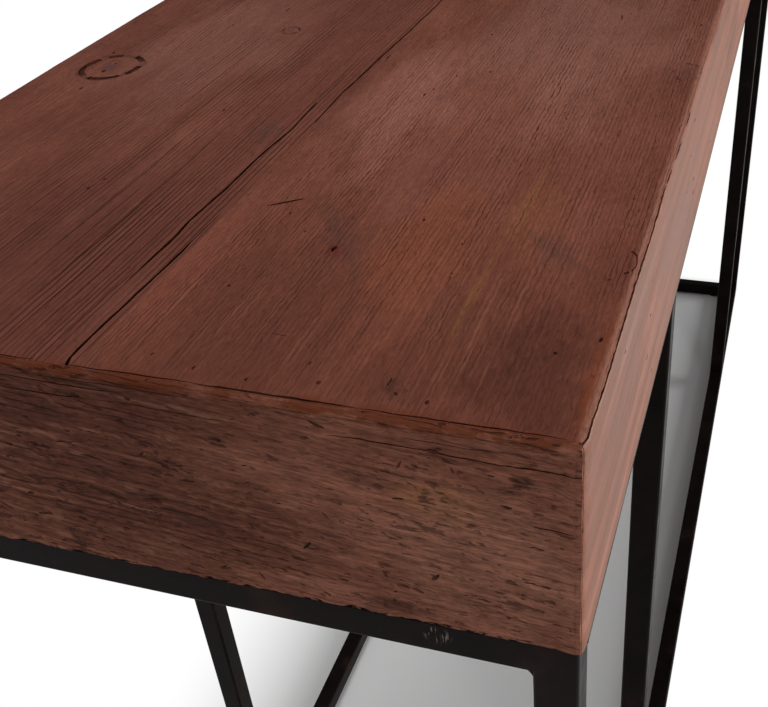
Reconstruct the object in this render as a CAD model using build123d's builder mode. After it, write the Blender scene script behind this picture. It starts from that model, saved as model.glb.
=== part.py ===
from build123d import *
import os

# Console-height timber table on a welded steel frame, in millimetres.
# Origin on the floor under the middle, X along the length, Y across the depth, Z up.
# The left end is at -X and the front is at -Y.
os.makedirs("parts", exist_ok=True)

# Whole table
table_length = 1500.0
table_depth = 410.0
table_height = 864.0

# Hollow timber top: two boards over four aprons, every outer edge mitred
top_thickness = 105.0
board = 28.0
arris = 2.0
seam_y = -8.0
seam_groove = 0.8

# Battens and glue blocks inside the hollow top
batten_width = 60.0
batten_depth = 22.0
block_side = 50.0
block_setback = 12.0

# Welded frame of square steel tube
tube = 19.0
wall = 1.5
tube_radius = 2.0
frame_inset = 2.5
end_bay = 256.0
weld = 5.0
weld_throat = 1.8

# Wood screws
head_diameter = 9.0
head_height = 3.0
shank_diameter = 4.5
screw_point = 6.0
screw_clearance = 0.1
access_clearance = 1.0
frame_screw_grip = 34.0
batten_screw_grip = 20.0

# Nylon floor glides pressed into the floor rails
glide_diameter = 16.0
glide_height = 3.0
glide_edge = 0.8
stem_diameter = 8.0
stem_length = 9.0
stem_clearance = 0.05
glide_from_corner = 30.0

# Places that follow from the sizes above
half_length = table_length / 2
half_depth = table_depth / 2
frame_top = table_height - top_thickness
frame_bottom = glide_height
leg_x = half_length - frame_inset - tube / 2
leg_y = half_depth - frame_inset - tube / 2
inner_leg_x = leg_x - tube - end_bay
rail_z = {"top": frame_top - tube / 2, "floor": frame_bottom + tube / 2}
hollow_length = table_length - 2 * board
hollow_depth = table_depth - 2 * board
board_underside = table_height - board
batten_underside = board_underside - batten_depth
shank_radius = shank_diameter / 2
pilot_radius = shank_radius + screw_clearance
access_radius = head_diameter / 2 + access_clearance

ends = {"left": -1, "right": 1}
sides = {"front": -1, "rear": 1}
levels = {"top": 1, "floor": -1}

# Screws up through the long rails: one in each end bay, three between the inner legs
bay_middle_x = (leg_x + inner_leg_x) / 2
rail_screw_x = (-bay_middle_x, -inner_leg_x / 2, 0, inner_leg_x / 2, bay_middle_x)
end_screw_y = (-leg_y / 2, leg_y / 2)
long_seats = {side: [(x, sign * leg_y) for x in rail_screw_x] for side, sign in sides.items()}
end_seats = {end: [(sign * leg_x, y) for y in end_screw_y] for end, sign in ends.items()}

# Battens share the hollow evenly, with two screws into each top board
batten_names = ("left_outer", "left_inner", "right_inner", "right_outer")
batten_pitch = hollow_length / (len(batten_names) + 1)
batten_x = {name: (i - 1.5) * batten_pitch for i, name in enumerate(batten_names)}
board_span = {"front": (-hollow_depth / 2, seam_y), "rear": (seam_y, hollow_depth / 2)}
batten_screw_y = {
    side: [low + (high - low) * share for share in (0.25, 0.75)] for side, (low, high) in board_span.items()
}

# Two glides under each floor rail: near the corners and under the inner legs
glide_y = leg_y - glide_from_corner
end_glides = {end: [(sign * leg_x, y) for y in (-glide_y, glide_y)] for end, sign in ends.items()}
long_glides = {
    side: [(x, sign * leg_y) for x in (-inner_leg_x, inner_leg_x)] for side, sign in sides.items()
}


def finish(piece, name):
    piece.part.label = name
    export_step(piece.part, f"parts/{name}.step")


def at_height(places, z):
    return [(x, y, z) for x, y in places]


def mitred_sections(outer, width, height, square_foot):
    # Outer face, worn arris and inner face of a board whose edges are cut at 45 degrees
    sections = []
    for depth, step in ((0, arris), (arris / 2, arris / 2), (board, board)):
        with BuildSketch(outer.offset(-depth)) as section:
            if square_foot:
                Rectangle(width - 2 * step, height - step, align=(Align.CENTER, Align.MIN))
            else:
                Rectangle(width - 2 * step, height - 2 * step)
        sections.append(section.sketch)
    return sections


def tube_section(place):
    with BuildSketch(place) as section:
        RectangleRounded(tube, tube, tube_radius)
        inner_radius = max(tube_radius - wall, wall / 4)
        RectangleRounded(tube - 2 * wall, tube - 2 * wall, inner_radius, mode=Mode.SUBTRACT)
    return section.sketch


def mitre_plane(end, side, level):
    # Faces from the leg towards the rail at one corner of an end frame
    corner = (ends[end] * leg_x, sides[side] * leg_y, rail_z[level])
    return Plane(origin=corner, x_dir=(1, 0, 0), z_dir=(0, -sides[side], levels[level]))


def weld_section(corner, first, second):
    # Concave fillet bead between two tubes that leave one inner corner at right angles
    place = Plane(origin=corner, x_dir=first, z_dir=Vector(*first).cross(Vector(*second)))
    with BuildSketch(place) as section:
        with BuildLine():
            Polyline((0, weld), (0, 0), (weld, 0))
            ThreePointArc((weld, 0), (weld_throat, weld_throat), (0, weld))
        make_face()
    return section.sketch


def screw_profile(length):
    # Half section of a domed-head wood screw, seated at the height of its origin
    with BuildSketch(Plane.XZ) as section:
        with BuildLine():
            TangentArc((0, -head_height), (head_diameter / 2, 0), tangent=(1, 0))
            Polyline(
                (head_diameter / 2, 0),
                (shank_radius, 0),
                (shank_radius, length - screw_point),
                (0, length),
                (0, -head_height),
            )
        make_face()
    return section.sketch


# Two top boards, one each side of the long seam
top_face = Plane.XY.offset(table_height)
seam_plane = Plane(origin=(0, seam_y, 0), x_dir=(1, 0, 0), z_dir=(0, 1, 0))
for side, kept in (("front", Keep.BOTTOM), ("rear", Keep.TOP)):
    with BuildPart() as top_board:
        loft(mitred_sections(top_face, table_length, table_depth, False), ruled=True)
        split(bisect_by=seam_plane, keep=kept)
        seam_face = top_board.faces().filter_by(Axis.Y)[0]
        chamfer(seam_face.edges().sort_by(Axis.Z)[-1], seam_groove)
        for x in batten_x.values():
            with Locations(*[(x, y, board_underside) for y in batten_screw_y[side]]):
                Cylinder(pilot_radius, 2 * batten_screw_grip, mode=Mode.SUBTRACT)
    finish(top_board, f"top_board_{side}")

# Long aprons along the front and rear
for side, sign in sides.items():
    outer = Plane(origin=(0, sign * half_depth, frame_top), x_dir=(-sign, 0, 0), z_dir=(0, sign, 0))
    with BuildPart() as long_apron:
        loft(mitred_sections(outer, table_length, top_thickness, True), ruled=True)
        with Locations(*at_height(long_seats[side], frame_top)):
            Cylinder(pilot_radius, 2 * frame_screw_grip, mode=Mode.SUBTRACT)
    finish(long_apron, f"{side}_apron")

# End aprons across the left and right ends
for end, sign in ends.items():
    outer = Plane(origin=(sign * half_length, 0, frame_top), x_dir=(0, sign, 0), z_dir=(sign, 0, 0))
    with BuildPart() as end_apron:
        loft(mitred_sections(outer, table_depth, top_thickness, True), ruled=True)
        with Locations(*at_height(end_seats[end], frame_top)):
            Cylinder(pilot_radius, 2 * frame_screw_grip, mode=Mode.SUBTRACT)
    finish(end_apron, f"{end}_end_apron")

# Cross battens that hold the two top boards together from below
for name, x in batten_x.items():
    screw_y = batten_screw_y["front"] + batten_screw_y["rear"]
    with BuildPart() as batten:
        with BuildSketch(Plane.XY.offset(batten_underside)):
            with Locations((x, 0)):
                Rectangle(batten_width, hollow_depth)
        extrude(amount=batten_depth)
        with Locations(*[(x, y, batten_underside) for y in screw_y]):
            Cylinder(pilot_radius, 4 * batten_depth, mode=Mode.SUBTRACT)
    finish(batten, f"{name}_batten")

# Triangular glue blocks behind the corner mitres
for end, end_sign in ends.items():
    for side, side_sign in sides.items():
        corner = (end_sign * hollow_length / 2, side_sign * hollow_depth / 2)
        along = (corner[0] - end_sign * block_side, corner[1])
        across = (corner[0], corner[1] - side_sign * block_side)
        with BuildPart() as block:
            with BuildSketch(Plane.XY.offset(frame_top + block_setback)):
                with BuildLine():
                    Polyline(corner, along, across, close=True)
                make_face()
            extrude(amount=board_underside - frame_top - block_setback)
        finish(block, f"{end}_{side}_glue_block")

# Four corner legs, mitred into the rails of the two end frames
for end, end_sign in ends.items():
    for side, side_sign in sides.items():
        foot = Plane(origin=(end_sign * leg_x, side_sign * leg_y, frame_bottom))
        with BuildPart() as corner_leg:
            extrude(tube_section(foot), amount=frame_top - frame_bottom)
            for level in levels:
                split(bisect_by=mitre_plane(end, side, level), keep=Keep.BOTTOM)
        finish(corner_leg, f"{end}_{side}_leg")

# End rails at the top and on the floor, the mitred halves of the same frames
for end, end_sign in ends.items():
    for level, z in rail_z.items():
        start = Plane(origin=(end_sign * leg_x, -leg_y - tube / 2, z), x_dir=(1, 0, 0), z_dir=(0, 1, 0))
        with BuildPart() as end_rail:
            extrude(tube_section(start), amount=2 * leg_y + tube)
            for side in sides:
                split(bisect_by=mitre_plane(end, side, level), keep=Keep.TOP)
            if level == "top":
                with Locations(*at_height(end_seats[end], frame_top)):
                    Cylinder(pilot_radius, 4 * wall, mode=Mode.SUBTRACT)
                with Locations(*at_height(end_seats[end], frame_top - tube)):
                    Cylinder(access_radius, 4 * wall, mode=Mode.SUBTRACT)
            else:
                with Locations(*at_height(end_glides[end], frame_bottom)):
                    Cylinder(stem_diameter / 2 + stem_clearance, 4 * wall, mode=Mode.SUBTRACT)
        finish(end_rail, f"{end}_{level}_rail")

# Long rails that butt against the corner legs
for side, side_sign in sides.items():
    for level, z in rail_z.items():
        rail_half = leg_x - tube / 2
        start = Plane(origin=(-rail_half, side_sign * leg_y, z), x_dir=(0, 1, 0), z_dir=(1, 0, 0))
        with BuildPart() as long_rail:
            extrude(tube_section(start), amount=2 * rail_half)
            if level == "top":
                with Locations(*at_height(long_seats[side], frame_top)):
                    Cylinder(pilot_radius, 4 * wall, mode=Mode.SUBTRACT)
                with Locations(*at_height(long_seats[side], frame_top - tube)):
                    Cylinder(access_radius, 4 * wall, mode=Mode.SUBTRACT)
            else:
                with Locations(*at_height(long_glides[side], frame_bottom)):
                    Cylinder(stem_diameter / 2 + stem_clearance, 4 * wall, mode=Mode.SUBTRACT)
        finish(long_rail, f"{side}_{level}_rail")

# Inner legs that stand between the long rails
for end, end_sign in ends.items():
    for side, side_sign in sides.items():
        foot = Plane(origin=(end_sign * inner_leg_x, side_sign * leg_y, frame_bottom + tube))
        with BuildPart() as inner_leg:
            extrude(tube_section(foot), amount=frame_top - frame_bottom - 2 * tube)
        finish(inner_leg, f"{end}_{side}_inner_leg")

# Weld beads in the inner corners of the end frames
weld_half_width = tube / 2 - tube_radius
inner_z = {"top": frame_top - tube, "floor": frame_bottom + tube}
for end, end_sign in ends.items():
    with BuildPart() as end_welds:
        for side_sign in sides.values():
            for level, level_sign in levels.items():
                corner = (end_sign * leg_x, side_sign * (leg_y - tube / 2), inner_z[level])
                bead = weld_section(corner, (0, -side_sign, 0), (0, 0, -level_sign))
                extrude(bead, amount=weld_half_width, both=True)
    finish(end_welds, f"{end}_end_welds")

# Weld beads where the long rails meet the legs: the way each bead faces along X, and its place
bead_faces = [(-sign, sign * (leg_x - tube / 2)) for sign in ends.values()]
for sign in ends.values():
    bead_faces += [(way, sign * inner_leg_x + way * tube / 2) for way in (-1, 1)]
for side, side_sign in sides.items():
    with BuildPart() as side_welds:
        for way, x in bead_faces:
            for level, level_sign in levels.items():
                bead = weld_section((x, side_sign * leg_y, inner_z[level]), (way, 0, 0), (0, 0, -level_sign))
                extrude(bead, amount=weld_half_width, both=True)
    finish(side_welds, f"{side}_side_welds")

# Screws that hold the timber top on the frame, heads inside the top rails
with BuildPart() as frame_screw:
    revolve(screw_profile(wall + frame_screw_grip), axis=Axis.Z)
screw_places = long_seats["front"] + long_seats["rear"] + end_seats["left"] + end_seats["right"]
with BuildPart() as frame_screws:
    with Locations(*at_height(screw_places, frame_top - wall)):
        add(frame_screw.part)
finish(frame_screws, "frame_screws")

# Screws through the battens into the top boards
with BuildPart() as batten_screw:
    revolve(screw_profile(batten_depth + batten_screw_grip), axis=Axis.Z)
with BuildPart() as batten_screws:
    for x in batten_x.values():
        screw_y = batten_screw_y["front"] + batten_screw_y["rear"]
        with Locations(*[(x, y, batten_underside) for y in screw_y]):
            add(batten_screw.part)
finish(batten_screws, "batten_screws")

# Floor glides
with BuildPart() as glide:
    Cylinder(glide_diameter / 2, glide_height, align=(Align.CENTER, Align.CENTER, Align.MIN))
    chamfer(glide.edges().sort_by(Axis.Z)[0], glide_edge)
    with Locations((0, 0, glide_height)):
        Cylinder(stem_diameter / 2, stem_length, align=(Align.CENTER, Align.CENTER, Align.MIN))
glide_places = end_glides["left"] + end_glides["right"] + long_glides["front"] + long_glides["rear"]
with BuildPart() as floor_glides:
    with Locations(*at_height(glide_places, 0)):
        add(glide.part)
finish(floor_glides, "floor_glides")
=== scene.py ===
import math
import random

import bmesh
import bpy
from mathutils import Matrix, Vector


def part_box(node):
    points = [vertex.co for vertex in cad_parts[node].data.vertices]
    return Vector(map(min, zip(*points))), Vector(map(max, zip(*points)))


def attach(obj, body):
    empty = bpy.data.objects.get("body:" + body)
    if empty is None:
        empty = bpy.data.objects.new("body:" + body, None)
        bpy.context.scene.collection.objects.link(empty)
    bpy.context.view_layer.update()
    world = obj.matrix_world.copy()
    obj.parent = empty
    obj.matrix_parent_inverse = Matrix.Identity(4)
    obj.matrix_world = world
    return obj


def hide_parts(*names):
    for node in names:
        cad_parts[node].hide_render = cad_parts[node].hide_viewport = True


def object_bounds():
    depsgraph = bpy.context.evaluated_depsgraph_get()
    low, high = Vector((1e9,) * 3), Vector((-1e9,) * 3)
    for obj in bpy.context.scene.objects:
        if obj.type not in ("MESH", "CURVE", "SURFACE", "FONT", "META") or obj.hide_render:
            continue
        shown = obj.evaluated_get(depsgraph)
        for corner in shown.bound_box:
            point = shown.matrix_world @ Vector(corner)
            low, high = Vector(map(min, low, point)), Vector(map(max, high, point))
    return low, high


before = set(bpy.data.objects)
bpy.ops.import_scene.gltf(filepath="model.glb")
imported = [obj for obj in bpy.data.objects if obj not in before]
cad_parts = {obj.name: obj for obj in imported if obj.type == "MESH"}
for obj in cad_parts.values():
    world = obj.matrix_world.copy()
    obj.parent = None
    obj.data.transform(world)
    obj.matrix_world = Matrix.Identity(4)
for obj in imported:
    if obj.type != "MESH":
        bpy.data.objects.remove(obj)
cadLow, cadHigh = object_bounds()
outerFaces = {  # axis, place and inward direction of the timber box's faces
    "top": (2, cadHigh[2], Vector((0, 0, -1))),
    "front": (1, cadLow[1], Vector((0, 1, 0))),
    "rear": (1, cadHigh[1], Vector((0, -1, 0))),
    "left": (0, cadLow[0], Vector((1, 0, 0))),
    "right": (0, cadHigh[0], Vector((-1, 0, 0))),
}
farAway = 9  # metres, out of the table's reach
print("frame loaded,", len(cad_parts), "nodes")


def paint(red, green, blue):  # display colour to scene colour
    levels = [level / 255 for level in (red, green, blue)]
    return [x / 12.92 if x <= 0.04045 else ((x + 0.055) / 1.055) ** 2.4 for x in levels] + [1.0]


def plug(tree, value, socket):  # link a socket or set a plain value
    if isinstance(value, bpy.types.NodeSocket):
        tree.links.new(value, socket)
    else:
        socket.default_value = value


def put(tree, kind, inputs=None, **settings):
    node = tree.nodes.new(kind)
    for name, value in settings.items():
        setattr(node, name, value)
    for name, value in (inputs or {}).items():
        plug(tree, value, node.inputs[name])
    return node


def calc(tree, operation, *values):
    return put(tree, "ShaderNodeMath", dict(enumerate(values)), operation=operation).outputs[0]


def times(tree, first, second):
    return calc(tree, "MULTIPLY", first, second)


def vectorCalc(tree, operation, *values):
    node = put(tree, "ShaderNodeVectorMath", dict(enumerate(values)), operation=operation)
    return node.outputs["Value" if operation == "LENGTH" else "Vector"]


def scaled(tree, vector, amount):
    return put(tree, "ShaderNodeVectorMath", {0: vector, "Scale": amount}, operation="SCALE").outputs[0]


def split(tree, vector):
    return put(tree, "ShaderNodeSeparateXYZ", {0: vector}).outputs


def spread(tree, value, fromLow, fromHigh, toLow=0.0, toHigh=1.0):  # smooth remap, clamped
    limits = {"Value": value, "From Min": fromLow, "From Max": fromHigh, "To Min": toLow, "To Max": toHigh}
    return put(tree, "ShaderNodeMapRange", limits, interpolation_type="SMOOTHSTEP").outputs[0]


def noise(tree, vector, stretch, detail=2.0, roughness=0.55):  # stretch in cells per metre
    cells = vectorCalc(tree, "MULTIPLY", vector, stretch)
    inputs = {"Vector": cells, "Scale": 1.0, "Detail": detail, "Roughness": roughness}
    return put(tree, "ShaderNodeTexNoise", inputs).outputs["Fac"]


def centred(tree, value):  # a noise about zero
    return calc(tree, "SUBTRACT", value, 0.5)


def blend(tree, factor, first, second):
    return put(tree, "ShaderNodeMix", {0: factor, 6: first, 7: second}, data_type="RGBA").outputs[2]


def ramp(tree, value, stops):
    node = put(tree, "ShaderNodeValToRGB", {"Fac": value})
    while len(node.color_ramp.elements) < len(stops):
        node.color_ramp.elements.new(0.5)
    for element, (position, colour) in zip(node.color_ramp.elements, stops):
        element.position = position
        element.color = colour
    return node.outputs["Color"]


def newGroup(name, inputs, outputs):  # takes a vector and the named inputs, puts out masks
    group = bpy.data.node_groups.new(name, "ShaderNodeTree")
    group.interface.new_socket("Vector", in_out="INPUT", socket_type="NodeSocketVector")
    for label, value in inputs.items():
        kind = "NodeSocketVector" if isinstance(value, tuple) else "NodeSocketFloat"
        group.interface.new_socket(label, in_out="INPUT", socket_type=kind).default_value = value
    for label in outputs:
        group.interface.new_socket(label, in_out="OUTPUT", socket_type="NodeSocketFloat")
    source = group.nodes.new("NodeGroupInput").outputs
    sink = group.nodes.new("NodeGroupOutput").inputs
    return group, source, sink


def useGroup(tree, group, inputs):
    return put(tree, "ShaderNodeGroup", inputs, node_tree=group).outputs


def newMaterial(name, specular):
    material = bpy.data.materials.new(name)
    material.use_nodes = True
    tree = material.node_tree
    shader = tree.nodes["Principled BSDF"]
    shader.inputs["Specular IOR Level"].default_value = specular
    return material, tree, shader, put(tree, "ShaderNodeTexCoord").outputs["Object"]


def addBump(tree, shader, height, strength, depth):
    bump = {"Height": height, "Strength": strength, "Distance": depth}
    plug(tree, put(tree, "ShaderNodeBump", bump).outputs[0], shader.inputs["Normal"])


grainLayers = {  # noise cells per metre along and across the grain, detail, roughness, limits of the mask
    "drift": (1.4, 6), "spacing": (0.7, 45), "weight": (4, 60, 3.0, 0.62, 0.36, 0.66, 0.05, 1.0),
    "broken": (42, 190, 3.0, 0.65, 0.4, 0.62), "pale": (11, 260, 3.0, 0.6, 0.5, 0.72),
    "fibre": (22, 1300, 2.0, 0.6), "short": (170, 900, 3.0, 0.65), "bands": (1.0, 55, 3.0, 0.6, 0.3, 0.7),
    "checkRegion": (3.5, 13, 2.0, 0.55, 0.44, 0.62), "torn": (6, 170, 2.0, 0.55, 0.5, 0.6),
    "dashes": (120, 420, 4.0, 0.66), "dashRegion": (26, 40), "pores": (160, 420, 1.0, 0.55, 0.68, 0.75),
    "blotch": (7, 17, 5.0, 0.62), "smudge": (38, 75, 5.0, 0.66, 0.55, 0.72),
}
grainShape = {
    "seedStep": (3.7, 1.3, 2.1), "curl": (1, 2.6, 2.6), "curlDetail": 3.0, "knotStretch": (0.55, 1, 1),
    "knotPush": -0.6, "layerTilt": 0.9, "unevenSpacing": 0.006, "lineWave": (0.58, 1.0),
    "ridgeWave": (0.3, -0.8), "checkWave": (0.72, 0.97), "fibreShare": 0.45, "shortShare": 0.55,
    "regionShare": 0.35, "dashLimits": (0.79, 0.85),
}


def grainNoise(group, vector, layer):
    along, across, *detail = grainLayers[layer][:4]
    value = noise(group, vector, (along, across, across), *detail)
    limits = grainLayers[layer][4:]
    return spread(group, value, *limits) if limits else value


def makeGrainGroup():  # grain runs along the vector's x
    inputs = {"Lines": 330.0, "Wander": 0.006, "Ripple": 0.0012, "Ripple Scale": 24.0, "Break": 0.0,
              "Seed": 0.0, "Knot": (0, 0, 0), "Knot Reach": 0.03}
    outputs = ["Lines", "Ridges", "Fibre", "Bands", "Checks", "Dashes", "Pores", "Blotch", "Smudge"]
    group, source, sink = newGroup("timberGrain", inputs, outputs)
    offset = scaled(group, grainShape["seedStep"], source["Seed"])
    moved = vectorCalc(group, "ADD", source["Vector"], offset)
    drift = times(group, centred(group, grainNoise(group, moved, "drift")), source["Wander"])
    curl = scaled(group, grainShape["curl"], source["Ripple Scale"])
    ripple = centred(group, noise(group, moved, curl, grainShape["curlDetail"]))
    drift = calc(group, "MULTIPLY_ADD", ripple, source["Ripple"], drift)
    away = vectorCalc(group, "SUBTRACT", source["Vector"], source["Knot"])
    away = vectorCalc(group, "MULTIPLY", away, grainShape["knotStretch"])
    reach = calc(group, "DIVIDE", vectorCalc(group, "LENGTH", away), source["Knot Reach"])
    bulge = calc(group, "EXPONENT", times(group, calc(group, "POWER", reach, 2.0), -1.0))
    part = split(group, moved)
    bulge = times(group, times(group, bulge, split(group, away)["Y"]), grainShape["knotPush"])
    across = calc(group, "ADD", calc(group, "ADD", part["Y"], drift), bulge)  # lines pass round a knot
    depth = calc(group, "SUBTRACT", part["Z"], drift)
    flow = put(group, "ShaderNodeCombineXYZ", {0: part["X"], 1: across, 2: depth}).outputs[0]
    spacing = centred(group, grainNoise(group, flow, "spacing"))
    layer = calc(group, "MULTIPLY_ADD", part["Z"], grainShape["layerTilt"], across)
    layer = calc(group, "MULTIPLY_ADD", spacing, grainShape["unevenSpacing"], layer)
    wave = calc(group, "SINE", times(group, times(group, layer, source["Lines"]), 2 * math.pi))
    broken = calc(group, "SUBTRACT", grainNoise(group, flow, "broken"), 1.0)
    broken = calc(group, "ADD", times(group, broken, source["Break"]), 1.0)
    weight = times(group, grainNoise(group, flow, "weight"), broken)
    lines = spread(group, wave, *grainShape["lineWave"])
    plug(group, times(group, lines, weight), sink["Lines"])
    ridges = spread(group, wave, *grainShape["ridgeWave"])
    plug(group, times(group, grainNoise(group, flow, "pale"), ridges), sink["Ridges"])
    fibre = times(group, grainNoise(group, flow, "fibre"), grainShape["fibreShare"])
    short = grainNoise(group, flow, "short")
    plug(group, calc(group, "MULTIPLY_ADD", short, grainShape["shortShare"], fibre), sink["Fibre"])
    plug(group, grainNoise(group, flow, "bands"), sink["Bands"])
    checks = spread(group, wave, *grainShape["checkWave"])
    checks = times(group, checks, grainNoise(group, flow, "torn"))
    plug(group, times(group, checks, grainNoise(group, moved, "checkRegion")), sink["Checks"])
    region, dashes = grainNoise(group, moved, "dashRegion"), grainNoise(group, flow, "dashes")
    dashes = calc(group, "MULTIPLY_ADD", region, grainShape["regionShare"], dashes)
    plug(group, spread(group, dashes, *grainShape["dashLimits"]), sink["Dashes"])
    for vector, layer in ((flow, "pores"), (moved, "blotch"), (moved, "smudge")):
        plug(group, grainNoise(group, vector, layer), sink[layer.title()])
    return group


patchShape = {"noise": ((1.7, 1.7, 0.3), 4.0, 0.6), "shake": 3.0, "edge": (1.0, 0.25)}


def makePatchGroup():  # a ragged round mask one unit across its radius
    group, source, sink = newGroup("softPatch", {"Ragged": 0.5}, ["Mask"])
    shake = noise(group, source["Vector"], *patchShape["noise"])
    radius = vectorCalc(group, "LENGTH", vectorCalc(group, "MULTIPLY", source["Vector"], (1, 1, 0)))
    shake = times(group, centred(group, shake), source["Ragged"])
    radius = calc(group, "MULTIPLY_ADD", shake, patchShape["shake"], radius)
    plug(group, spread(group, radius, *patchShape["edge"]), sink["Mask"])
    return group


knotShape = {
    "wobble": 0.45, "wobbleNoise": ((1.6, 1.6, 1.6), 2.0), "gapNoise": ((1.9, 1.9, 1.9), 1.0),
    "gapEdge": 0.1, "rim": (0.15, 0.04), "heart": (0.5, 0.12), "waves": 26.0, "waveLimits": (-0.4, 1.0),
    "inside": (1.5, 0.9),
    "ringsColour": (62, 34, 28), "heartColour": (78, 50, 50), "barkColour": (50, 24, 17),
}


def makeKnotGroup():  # a knot whose bark ring is one unit in radius
    group, source, sink = newGroup("knotMark", {"Broken": 0.5}, ["Ring", "Heart", "Rings"])
    flat = vectorCalc(group, "MULTIPLY", source["Vector"], (1, 1, 0))
    wobble = centred(group, noise(group, flat, *knotShape["wobbleNoise"]))
    radius = calc(group, "MULTIPLY_ADD", wobble, knotShape["wobble"], vectorCalc(group, "LENGTH", flat))
    rim = calc(group, "ABSOLUTE", calc(group, "SUBTRACT", radius, 1.0))
    whole = calc(group, "ADD", source["Broken"], knotShape["gapEdge"])
    gaps = spread(group, noise(group, flat, *knotShape["gapNoise"]), source["Broken"], whole)
    plug(group, times(group, spread(group, rim, *knotShape["rim"]), gaps), sink["Ring"])
    plug(group, spread(group, radius, *knotShape["heart"]), sink["Heart"])
    waves = calc(group, "SINE", times(group, radius, knotShape["waves"]))
    waves = spread(group, waves, *knotShape["waveLimits"])
    plug(group, times(group, waves, spread(group, radius, *knotShape["inside"])), sink["Rings"])
    return group


wearShape = {"noise": ((45, 45, 45), 5.0, 0.72), "shake": 3.0, "edge": (1.1, 0.3)}


def makeWearGroup():  # worn upper arris of the timber box
    group, source, sink = newGroup("edgeWear", {"Half Size": (1, 1, 1), "Width": 0.004}, ["Wear"])
    inside = vectorCalc(group, "ABSOLUTE", source["Vector"])
    part = split(group, vectorCalc(group, "SUBTRACT", source["Half Size"], inside))
    second = calc(group, "MAXIMUM", calc(group, "MINIMUM", part["X"], part["Y"]), part["Z"])
    shake = noise(group, source["Vector"], *wearShape["noise"])
    near = calc(group, "DIVIDE", second, source["Width"])
    near = calc(group, "MULTIPLY_ADD", centred(group, shake), wearShape["shake"], near)
    plug(group, spread(group, near, *wearShape["edge"]), sink["Wear"])
    return group


grainGroup = makeGrainGroup()
patchGroup = makePatchGroup()
knotGroup = makeKnotGroup()
wearGroup = makeWearGroup()


def markSpace(tree, place, mark):  # coordinates around one listed mark
    turn = [math.radians(angle) for angle in mark["turn"]]
    spot = {"Vector": place, "Location": mark["place"], "Scale": mark["size"], "Rotation": turn}
    return put(tree, "ShaderNodeMapping", spot, vector_type="TEXTURE").outputs[0]


def patchMask(tree, place, patch):
    spot = {"Vector": markSpace(tree, place, patch), "Ragged": patch.get("ragged", 0.5)}
    return times(tree, useGroup(tree, patchGroup, spot)["Mask"], patch["strength"])


def addKnot(tree, place, colour, knot):
    spot = {"Vector": markSpace(tree, place, knot), "Broken": knot["broken"]}
    masks = useGroup(tree, knotGroup, spot)
    for mask, shade in (("Rings", "ringsColour"), ("Heart", "heartColour"), ("Ring", "barkColour")):
        amount = times(tree, masks[mask], knot[mask.lower()])
        colour = blend(tree, amount, colour, paint(*knotShape[shade]))
    return colour


timberFinish = {
    "tones": (0.3, 0.5, 0.7), "fibreLimits": (0.3, 0.7), "high": (0.3, 0.08), "dirt": (0.3, 0.95),
    "roughSpread": 0.07, "lineRough": 0.08, "wearRough": -0.1, "bumpDepth": 0.0006,
    "heights": {"Lines": -0.4, "Checks": -1.0, "Dashes": -0.9, "Pores": -0.4, "Fibre": 0.9, "Ridges": 0.5},
}


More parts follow.
